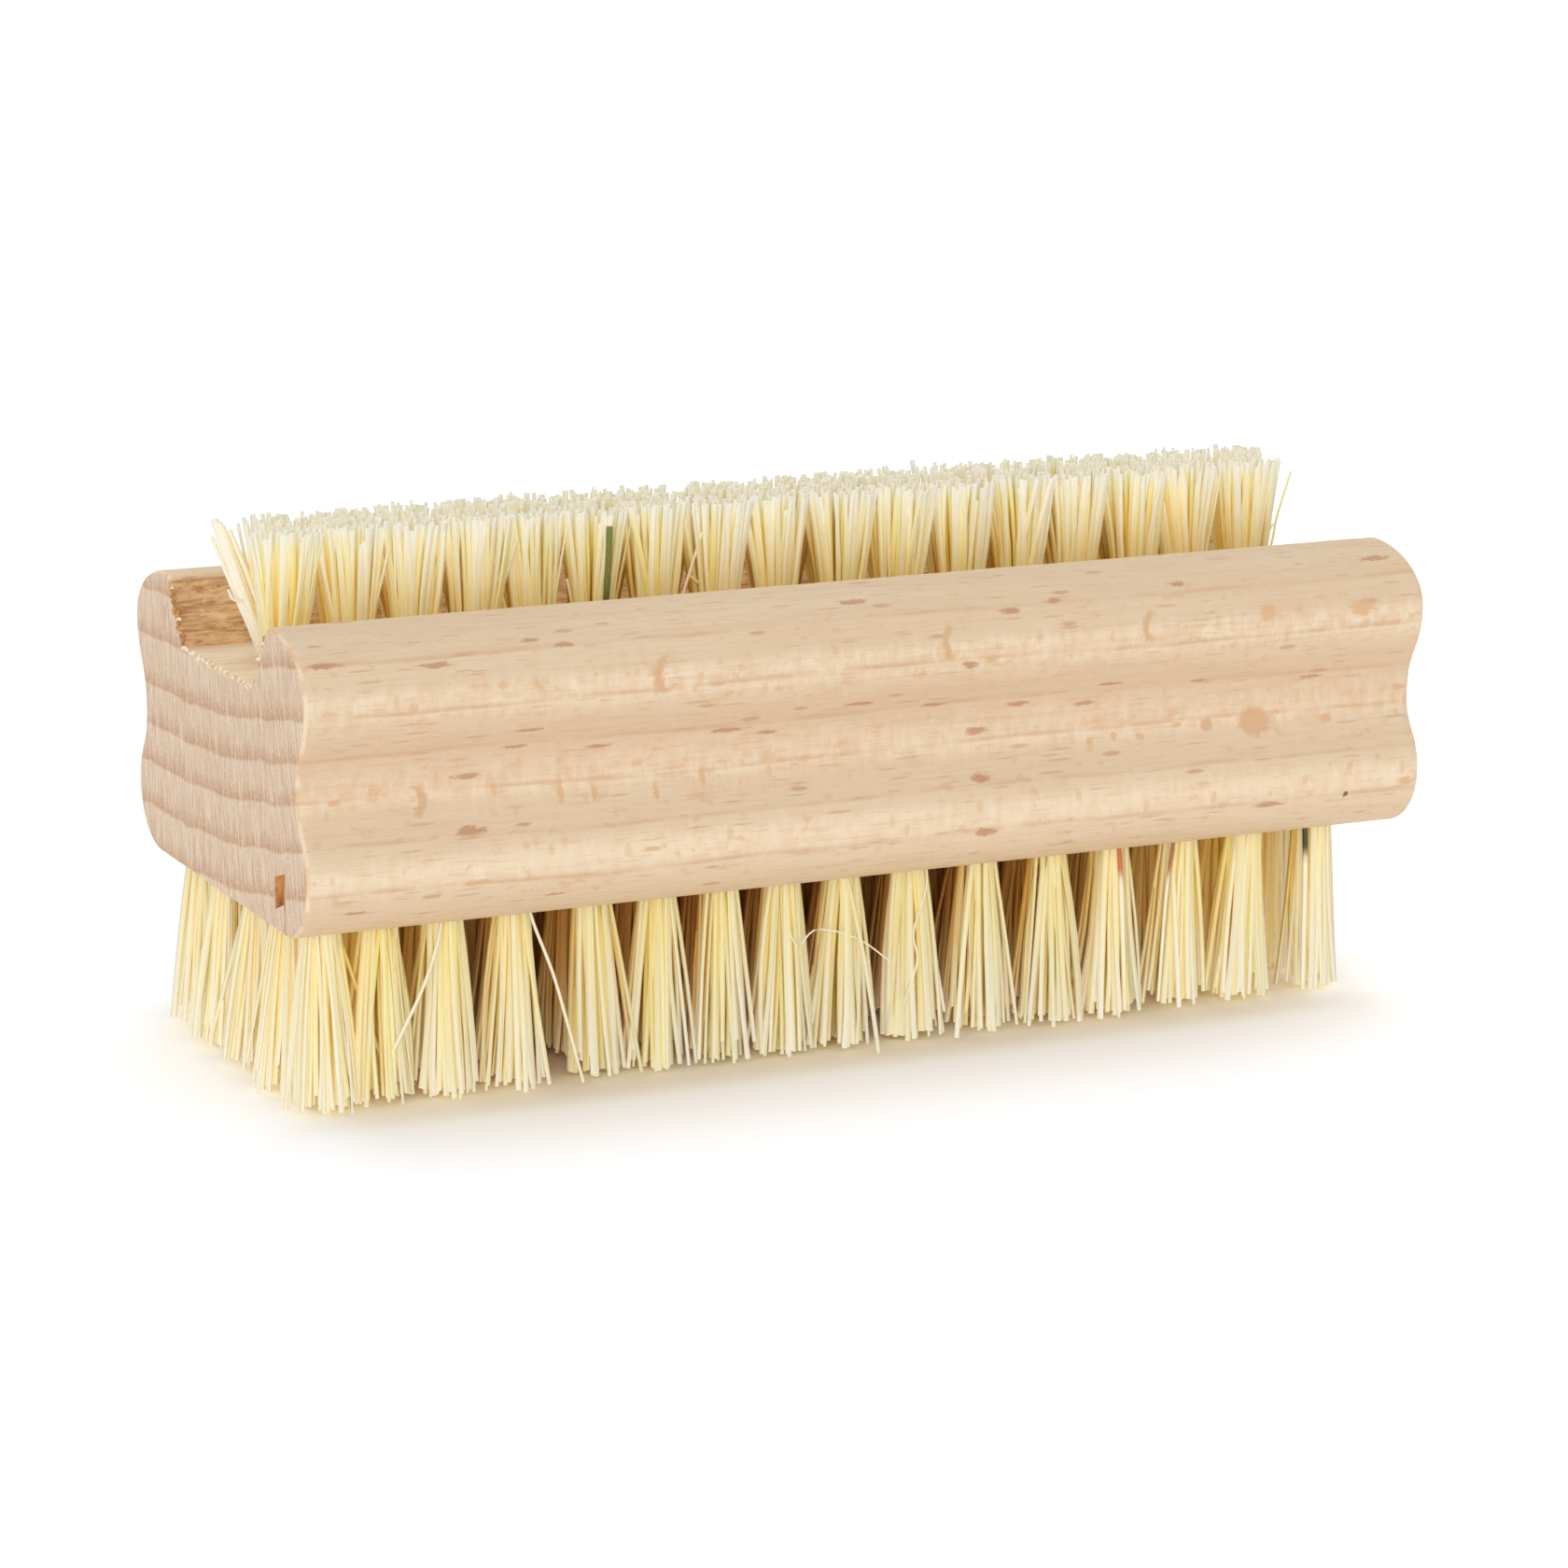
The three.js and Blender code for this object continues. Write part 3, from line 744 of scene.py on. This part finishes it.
def tuft(place, surface_z, tip_z, root_reach, fan, field, rng):
    """Paths, radii, tints and outward sides of one tuft's fibres, rooted in its hole and fanning to its tips.
    The field is the middle and the half sizes of all the tufts of that side."""
    n, steps = FIBRES, FIBRE_STEPS
    way = 1 if tip_z > surface_z else -1
    side = "upper" if way > 0 else "lower"
    order = np.arange(n)
    reach = root_reach * np.sqrt((order + 0.5) / n)
    angle = order * GOLDEN_ANGLE + rng.normal(0, TURN_SPREAD, n) + rng.uniform(0, 7)
    root = np.stack([reach * np.cos(angle), reach * np.sin(angle)], 1) + rng.normal(0, ROOT_SPREAD, (n, 2))
    spread = rng.normal(fan, FAN_SPREAD) + rng.normal(0, FIBRE_FAN_SPREAD, n)
    tip = root * spread[:, None] + rng.normal(0, TIP_SPREAD, (n, 2)) + rng.normal(0, LEAN_SPREAD, 2)
    wild = rng.random(n) < WILD_SHARE
    tip[wild] += rng.normal(0, WILD_SPREAD, (wild.sum(), 2))
    bow = rng.normal(0, BOW_SPREAD, (n, 2))
    short = np.abs(rng.normal(0, TRIM_SPREAD, n))
    short += (rng.random(n) < BROKEN_SHARE) * rng.uniform(*BROKEN_LENGTHS, n)
    short += abs(rng.normal(0, TUFT_TRIM_SPREAD))
    if way > 0:
        short = UPPER_TRIM + UPPER_EVEN * short
    ends = tip_z - way * short
    paths = np.zeros((n, len(steps) + 1, 3))
    paths[:, 0, :2] = root * ROOT_PINCH
    paths[:, 0, 2] = surface_z - way * ROOT_DEPTH
    for k, t in enumerate(steps):
        paths[:, k + 1, :2] = root + (tip - root) * t + bow * math.sin(math.pi * t)
        paths[:, k + 1, 2] = surface_z + (ends - surface_z) * t
    paths[:, :, :2] += place
    thick = np.clip(rng.normal(FIBRE_RADIUS, RADIUS_SPREAD, n), *RADIUS_LIMITS)
    radii = thick[:, None] * FIBRE_TAPER

    at = root + place
    from_ends, from_sides = field[1] - np.abs(at[:, 0] - field[0]), field[2] - np.abs(at[:, 1])
    out = np.concatenate([[0], steps])
    deep = smooth(from_ends, DEEP_FROM, DEEP_TO[side])[:, None]
    # Painted shade where other tufts shade the roots: brown deep in the field, amber near its ends, less at
    # the tips
    painted_shade_tone = AMBER * (1 - deep) + BROWN[side] * deep
    shaded = smooth(np.minimum(from_sides, from_ends), *SHADE_RUN)
    shaded = shaded[:, None] * (1 - TIPS_CLEAR[side] * smooth(out, 0.25, 1.0))[None, :]
    tints = fibre_tints(n, rng)
    # Painted shade: yellower fibres in the middle of each tuft
    tints *= 1 - smooth(reach / root_reach, *INNER_RUN)[:, None] * (1 - INNER)
    along = tints[:, None, :] * painted_shade_tone[:, None, :] ** shaded[:, :, None]
    # Yellower towards every root: partly the roots' own colour, partly painted shade
    along *= 1 - (1 - smooth(out, 0.1, 1.0))[None, :, None] * (1 - GOLDEN[side])
    # Painted light on lower fibres at the field's ends, and a little painted shade deep in the field
    if way < 0:
        end_painted_light = END_PAINTED_LIGHT * (1 - smooth(from_ends, *END_PAINTED_LIGHT_RUN))[:, None, None]
        along = (1 - DEEP_DARKER * deep[:, :, None]) * (along * (1 - end_painted_light) + PALE * end_painted_light)
    # Paler last two rings: partly the cut ends' own colour, partly painted light
    pale_tips_and_light = PALE_TIPS_AND_LIGHT[side][None, :, None]
    along[:, -2:] = along[:, -2:] * (1 - pale_tips_and_light) + PALE * pale_tips_and_light
    outward = np.column_stack([root / root_reach, np.full(n, max(way, 0))])
    return paths, radii, along, outward


def fibre_piece(name, paths, radii, tints, outward, rng, sides=5, shades=True):
    """One mesh of closed strands, with a strip of the unit square for each. Shading leans to the tuft's
    outside and to the upper tips, as light spreads through the whole bundle."""
    n, rings = paths.shape[:2]
    heading = np.gradient(paths, axis=1)
    heading /= np.linalg.norm(heading, axis=2)[..., None]
    lying = np.abs(heading[:, :, 0]).mean(1) > 0.8
    guide = np.where(lying[:, None, None], (0.0, 0.0, 1.0), (1.0, 0.0, 0.0))
    one = np.cross(heading, np.broadcast_to(guide, heading.shape))
    one /= np.linalg.norm(one, axis=2)[..., None]
    two = np.cross(heading, one)
    turn = rng.uniform(0, math.pi, n)
    flat = rng.uniform(0.65, 1.0, n)
    angle = np.arange(sides) * 2 * math.pi / sides
    wide = np.cos(angle)[None, :]
    tall = np.sin(angle)[None, :] * flat[:, None]
    a = wide * np.cos(turn)[:, None] - tall * np.sin(turn)[:, None]
    b = wide * np.sin(turn)[:, None] + tall * np.cos(turn)[:, None]
    points = (paths[:, :, None, :] + radii[:, :, None, None]
              * (a[:, None, :, None] * one[:, :, None, :] + b[:, None, :, None] * two[:, :, None, :]))
    around = np.arange(sides)
    after = (around + 1) % sides
    faces, uvs = [], []
    columns = math.ceil(math.sqrt(n * 6))
    tall_cells = math.ceil(n / columns)
    wide_uv, tall_uv = 0.9 / columns, 0.94 / tall_cells  # strips, with a margin in their cells
    for f in range(n):
        start = f * rings * sides
        left, low = (f % columns) / columns, (f // columns) / tall_cells
        for k in range(rings - 1):
            v0 = low + tall_uv * k / (rings + 1)
            v1 = low + tall_uv * (k + 1) / (rings + 1)
            for i in range(sides):
                j = after[i]
                faces.append((start + k * sides + i, start + k * sides + j,
                              start + (k + 1) * sides + j, start + (k + 1) * sides + i))
                u0, u1 = left + wide_uv * i / sides, left + wide_uv * (i + 1) / sides
                uvs += [(u0, v0), (u1, v0), (u1, v1), (u0, v1)]
        for k, order in ((0, around[::-1]), (rings - 1, around)):
            faces.append(tuple(start + k * sides + int(i) for i in order))
            middle = low + tall_uv * (rings - 0.45 + (0.9 if k else 0)) / (rings + 1)
            for i in order:
                uvs.append((left + wide_uv * (0.5 + 0.4 * math.cos(angle[i])),
                            middle + tall_uv * 0.4 * math.sin(angle[i]) / (rings + 1)))
    obj = piece(name, points.reshape(-1, 3), faces, [FIBRE])
    mesh = obj.data
    mesh.uv_layers.new(name="OFBake").data.foreach_set("uv", np.asarray(uvs, np.float32).ravel())
    tint = mesh.color_attributes.new("tint", "FLOAT_COLOR", "POINT")
    colour = np.ones((n, rings, sides, 4), np.float32)
    colour[..., :3] = tints[:, :, None, :]
    tint.data.foreach_set("color", colour.ravel())
    mesh.polygons.foreach_set("use_smooth", np.array([len(f) == 4 for f in faces]))
    outward_faces(obj)
    centres = np.repeat(paths.reshape(-1, 3), sides, 0)
    round_normals = points.reshape(-1, 3) - centres
    round_normals /= np.linalg.norm(round_normals, axis=1)[:, None]
    sideways = np.repeat(outward * (1, 1, 0), rings * sides, 0)
    tipwards = np.repeat(outward * (0, 0, 1), rings * sides, 0)
    tipwards *= np.tile(np.repeat(np.linspace(0, 1, rings) ** 2, sides), n)[:, None]
    faces_out = smooth((round_normals * sideways).sum(1), -0.3, 0.4)[:, None]
    own, outside, tips = NORMAL_SHARES
    leaning = round_normals * own + sideways * outside * faces_out + tipwards * tips
    leaning /= np.linalg.norm(leaning, axis=1)[:, None]
    loop_points = np.zeros(len(mesh.loops), np.int32)
    mesh.loops.foreach_get("vertex_index", loop_points)
    corners = np.zeros(len(mesh.polygons), np.int32)
    mesh.polygons.foreach_get("loop_total", corners)
    flat_normals = np.zeros((len(mesh.polygons), 3), np.float32)
    mesh.polygons.foreach_get("normal", flat_normals.ravel())
    cap = np.repeat(corners != 4, corners)
    normals = np.where(cap[:, None], np.repeat(flat_normals, corners, 0), leaning[loop_points])
    mesh.normals_split_custom_set(normals.tolist())
    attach(obj, "root")
    obj.visible_shadow = shades
    return obj


def fibre_rows():
    upper_field = (FIELD_SHIFT + UPPER_STAGGER / 2,
                   (UPPER_COLUMNS - 1) / 2 * UPPER_COLUMN_PITCH + UPPER_STAGGER / 2 + UPPER_ROOT,
                   (UPPER_ROWS - 1) / 2 * UPPER_ROW_PITCH + UPPER_ROOT)
    lower_field = (FIELD_SHIFT, (LOWER_COLUMNS - 1) / 2 * LOWER_COLUMN_PITCH + LOWER_ROOT,
                   (LOWER_ROWS - 1) / 2 * LOWER_ROW_PITCH + LOWER_ROOT)
    for side, rows, surface_z, tip_z, root_reach, fan, field, node in (
            ("upper", UPPER_PLACES, FLOOR, FLOOR + UPPER_BRISTLE + UPPER_SPARE, UPPER_ROOT, UPPER_FAN,
             upper_field, "upper_bristles"),
            ("lower", LOWER_PLACES, BASE, 0.0, LOWER_ROOT, LOWER_FAN, lower_field, "lower_bristles")):
        for row, places in enumerate(rows):
            rng = np.random.default_rng((len(rows), row, 5))
            fans = np.full(len(places), fan)
            fans[[0, -1]] *= END_FANS[side]
            made = [tuft(place, surface_z, tip_z, root_reach, spread, field, rng)
                    for place, spread in zip(places, fans)]
            every = [np.concatenate([m[k] for m in made]) for k in range(4)]
            # Fewer fibres shade the others near the ends of a row, and all of them do deep in the field
            column = np.arange(len(places))
            from_end = np.minimum(column, column[::-1])
            deep = smooth(from_end, 0.5, 3.5) * (0 < row < len(rows) - 1)
            share = CORE * (0.6 + 0.4 * smooth(from_end, 0.5, 5))
            share = share + (1 - share) * deep
            core = (np.arange(FIBRES)[None, :] < FIBRES * share[:, None]).ravel()
            for layer, chosen in (("core", core), ("rim", ~core)):
                obj = fibre_piece(f"{side}_{layer}_{row + 1}", *(part[chosen] for part in every), rng,
                                  shades=layer == "core")
                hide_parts(node)


STRAND_RINGS = 25
STRAND_ROOT = 3  # length in the wood
ROOT_TINT_ENDS = 0.5, 0.62  # where along a fibre its root's tint changes


def strand(row_y, points, thick, tint, root_tint=None):
    """One fibre on a smooth run through these points, whose y is taken from a row of tufts, with a tint that
    may start as another at its root."""
    points = np.array(points) + (0, row_y, 0)
    run = np.linspace(0, len(points) - 1, STRAND_RINGS)
    bend = np.zeros((STRAND_RINGS, 3))
    for k, t in enumerate(run):
        i = min(int(t), len(points) - 2)
        a, b = points[i], points[i + 1]
        before = points[i - 1] if i else 2 * a - b
        after = points[i + 2] if i + 2 < len(points) else 2 * b - a
        u = t - i
        bend[k] = 0.5 * (2 * a + (b - before) * u + (2 * before - 5 * a + 4 * b - after) * u * u
                         + (3 * a - before - 3 * b + after) * u ** 3)
    tints = np.tile(tint, (STRAND_RINGS, 1))
    if root_tint is not None:
        share = (1 - smooth(np.linspace(0, 1, STRAND_RINGS), *ROOT_TINT_ENDS))[:, None]
        tints = tints * (1 - share) + root_tint * share
    return bend, np.full(STRAND_RINGS, thick), tints


def single_fibres():
    """Fibres that stand out: strays at the ends, crossing and curled ones, and a few of other colours."""
    green, leaf_green, dark_green = linear(120, 132, 66), linear(92, 106, 46), linear(56, 64, 32)
    red, rust = linear(206, 118, 66), linear(178, 116, 58)
    back, front, low = UPPER_ROW_PITCH / 2, -UPPER_ROW_PITCH / 2, -2 * LOWER_ROW_PITCH
    under, over = FLOOR - STRAND_ROOT, BASE + STRAND_ROOT
    # Row, points, radius, tint and the root's tint
    rows = [
        (back, [(-42.7, 0, under), (-42.9, 0, 31.9), (-44.7, 0.1, 37.2), (-46.5, 0, 42.4)], 0.34, PALE),
        (back, [(-42.5, -0.2, under), (-42.7, -0.3, 31.9), (-44.5, -0.3, 37.2), (-46.2, -0.2, 42.2)],
         0.3, PALE),
        (back, [(-42.4, 0, under), (-42.6, -0.2, 31.9), (-44.2, -0.2, 37.2), (-46.0, -0.3, 41.9)],
         0.26, CREAM),
        (back, [(-42.9, 0, under), (-43.1, 0.2, 31.9), (-44.8, 0.3, 36.4), (-46.6, 0.4, 41.0)], 0.2, PALE),
        (back, [(-42.2, -0.3, under), (-42.3, -0.4, 31.9), (-43.8, -0.5, 37.2), (-45.5, -0.5, 41.6)],
         0.3, CREAM),
        (back, [(-43.9, -0.2, 35.0), (-44.5, -0.3, 36.0), (-45.2, -0.3, 36.2), (-45.6, -0.3, 37.0)],
         0.11, PALE),
        (back, [(-42.0, -0.6, 37.4), (-42.7, -0.9, 37.7), (-43.7, -1.0, 38.2)], 0.2, PALE),
        (front, [(-19.0, 0.3, under), (-19.2, 0.2, 32.5), (-19.5, 0, 34.8), (-19.9, 0, 36.8)], 0.15, PALE),
        (front, [(-7.9, -0.1, under), (-7.9, -0.3, 32.5), (-8.3, -0.3, 35.0), (-9.7, -0.4, 36.4)],
         0.12, CREAM),
        (front, [(-36.8, -0.2, under), (-36.8, -0.4, 31.9), (-36.2, -0.7, 34.9), (-34.9, -1.1, 40.6)],
         0.11, CREAM),
        (front, [(-26.9, -0.3, under), (-26.7, -0.5, 31.9), (-26.1, -0.8, 34.8), (-24.6, -1.2, 40.3)],
         0.1, CREAM),
        (front, [(-24.0, -0.2, under), (-24.2, -0.4, 31.9), (-25.2, -0.6, 34.8), (-26.3, -0.8, 39.0)],
         0.1, YELLOW),
        (front, [(-11.6, -0.3, under), (-11.4, -0.5, 31.9), (-10.5, -0.8, 34.9), (-9.0, -1.2, 39.9)],
         0.11, CREAM),
        (front, [(41.6, 0, under), (41.8, 0, 31.8), (43.0, 0, 35.0), (43.5, 0, 37.4), (44.7, 0, 41.0)],
         0.12, YELLOW),
        (front, [(41.4, 0, under), (41.6, 0, 31.8), (42.7, 0, 35.9), (43.4, 0, 36.9)], 0.1, CREAM),
        (front, [(41.2, 0.3, under), (41.4, 0.3, 31.8), (42.8, 0.2, 37.2), (43.5, 0.1, 42.2)], 0.2, CREAM),
        (front, [(-17.4, -0.8, under), (-17.4, -1.4, 33), (-17.45, -2.3, 37.6), (-17.55, -2.9, 41.2)],
         0.27, green, leaf_green),
        (low, [(-34.9, -0.8, over), (-35.0, -1.4, 13.6), (-36.6, -2.1, 9.4), (-39.4, -2.5, 4.4)],
         0.14, CREAM),
        (low, [(-27.9, -0.6, over), (-27.7, -1.3, 13.6), (-26.2, -2.0, 9.0), (-25.1, -2.5, 4.6),
               (-24.0, -2.7, 0.3)], 0.13, CREAM),
        (low, [(-6.6, -0.6, over), (-6.4, -1.2, 12.0), (-5.7, -1.9, 8.9), (-4.0, -1.9, 10.0),
               (-0.6, -2.0, 9.0), (2.2, -2.3, 6.9)], 0.07, CREAM),
        (low, [(5.6, -0.9, over), (5.8, -1.4, 12.6), (4.3, -2.2, 9.0), (4.6, -2.3, 6.6), (3.3, -2.6, 3.4)],
         0.09, CREAM),
        (low, [(40.5, -0.7, over), (40.2, -1.35, 13.6), (40.1, -1.7, 10.0), (39.9, -2.2, 0.5)],
         0.24, CREAM, dark_green),
        (low, [(22.9, -0.8, over), (22.9, -1.5, 13.6), (23.0, -1.9, 10.0), (23.2, -2.5, 0.6)],
         0.2, CREAM, red),
        (low, [(28.2, -0.8, over), (27.9, -1.35, 13.4), (27.2, -1.7, 9.5), (26.4, -2.2, 0.9)],
         0.19, CREAM, rust),
    ]
    made = [strand(*row) for row in rows]
    paths, radii, tints = (np.stack([m[k] for m in made]) for k in range(3))
    no_lean = np.zeros((len(made), 3))
    fibre_piece("single_fibres", paths, radii, tints, no_lean, np.random.default_rng(3), 6)


make_block()
crumbs()
fibre_rows()
single_fibres()
for name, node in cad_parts.items():
    if name.startswith("anchor"):
        node.data.materials.clear()
        node.data.materials.append(WIRE)


# White floor that keeps the shadow, lightened to the right and with a painted shadow near the tufts, and soft
# even light

def seen(tree):
    """1 where a ray comes from the camera or from a shiny or clear surface."""
    path = add(tree, "LightPath")
    first = calc(tree, "MAXIMUM", path.outputs["Is Camera Ray"], path.outputs["Is Glossy Ray"])
    return calc(tree, "MAXIMUM", first, path.outputs["Is Transmission Ray"])


def floor_material():
    """White floor. The camera sees it brighter than it is, to meet the white behind it, and more so to the
    right, which paints light over the brush's shadow there. Close to the tufts a shadow is painted on it."""
    # The right tone paints light over the brush's shadow; the contact and near tones paint shadow close to
    # the tufts
    left_tone, right_painted_light = (1.24, 1.28, 1.35, 1), (1.6, 1.62, 1.66, 1)
    contact_painted_shadow, near_painted_shadow = (0.92, 0.82, 0.62, 1), (1.1, 1.1, 1.12, 1)
    true_tone = (0.97, 0.97, 0.97, 1)
    field_ends, field_sides = 45, 15.4
    material, tree = new_material("floor_white")
    x, y, _ = add(tree, "SeparateXYZ", {0: place_of(tree, 1000, 1000, 1000)}).outputs
    beyond_ends = minus(tree, calc(tree, "ABSOLUTE", x), field_ends)
    beyond_sides = minus(tree, calc(tree, "ABSOLUTE", y), field_sides)
    away = calc(tree, "MAXIMUM", beyond_ends, beyond_sides)
    between = times(tree, fade(tree, x, -60, -25), fade(tree, x, 47, 30))
    tone = layered(
        tree, mix(tree, fade(tree, x, 20, 70), left_tone, right_painted_light),
        # Painted shadow: strong at the tufts' foot, faint further out
        (times(tree, fade(tree, away, 6, 0.5), between), 0.9, contact_painted_shadow),
        (times(tree, fade(tree, away, 16, 3), between), 0.3, near_painted_shadow))
    shade = add(tree, "BsdfDiffuse", {"Color": mix(tree, seen(tree), true_tone, tone)})
    add(tree, "OutputMaterial", {0: shade.outputs[0]})
    return material


def make_stage():
    size, level, world_light = 6000, -0.02, 0.58
    corners = [(x * size, y * size, level) for x, y in ((-1, -1), (1, -1), (1, 1), (-1, 1))]
    ground = piece("ground", corners, [(0, 1, 2, 3)], [floor_material()])
    ground.visible_shadow = False

    world = bpy.data.worlds.new("studio")
    SCENE.world = world
    world.use_nodes = True
    tree = world.node_tree
    tree.nodes.clear()
    strength = calc(tree, "MULTIPLY_ADD", seen(tree), 1 - world_light, world_light)
    back = add(tree, "Background", {"Color": (1, 1, 1, 1), "Strength": strength})
    add(tree, "OutputWorld", {0: back.outputs[0]})

    def lamp(name, strength, spread, towards):
        light = bpy.data.lights.new(name, "SUN")
        light.energy = strength
        light.angle = math.radians(spread)
        obj = bpy.data.objects.new(name, light)
        obj.rotation_euler = Vector(towards).to_track_quat("-Z", "Y").to_euler()
        SCENE.collection.objects.link(obj)

    lamp("front", 1.1, 60, (0.5, 0.86, -0.1))
    lamp("above", 0.68, 40, (0.0, -0.3, -1.0))
    # What a bright white table throws back
    lamp("table", 0.19, 100, (0.3, 0.6, 0.75))


def make_camera():
    """Camera at the photograph's viewing angle, set by its angles and its distance to the block's middle."""
    azimuth, elevation, roll = math.radians(25.284), math.radians(13.039), math.radians(0.3675)
    distance, aside, raised = 404.89, -0.0121, -7.088
    focal_pixels, frame_pixels, sensor = 5437.57, 1680, 36
    forward = Vector((math.sin(azimuth) * math.cos(elevation), math.cos(azimuth) * math.cos(elevation),
                      -math.sin(elevation)))
    right = Vector((math.cos(azimuth), -math.sin(azimuth), 0))
    up = right.cross(forward)
    right, up = (math.cos(roll) * right + math.sin(roll) * up, -math.sin(roll) * right + math.cos(roll) * up)
    middle = Vector((0, 0, BASE + BLOCK_HEIGHT / 2))
    place = middle - forward * distance + right * aside + up * raised
    camera = bpy.data.cameras.new("camera")
    camera.sensor_width = sensor
    camera.lens = focal_pixels / frame_pixels * sensor
    camera.clip_start, camera.clip_end = 0.01, 50
    obj = bpy.data.objects.new("camera", camera)
    turn = Matrix((right, up, -forward)).transposed().to_4x4()
    obj.matrix_world = Matrix.Translation(place * MM) @ turn
    SCENE.collection.objects.link(obj)
    SCENE.camera = obj


make_stage()
make_camera()
SCENE.view_settings.view_transform = "Standard"
# Light goes on bouncing among the pale fibres
SCENE.cycles.max_bounces = 24
SCENE.cycles.diffuse_bounces = 20
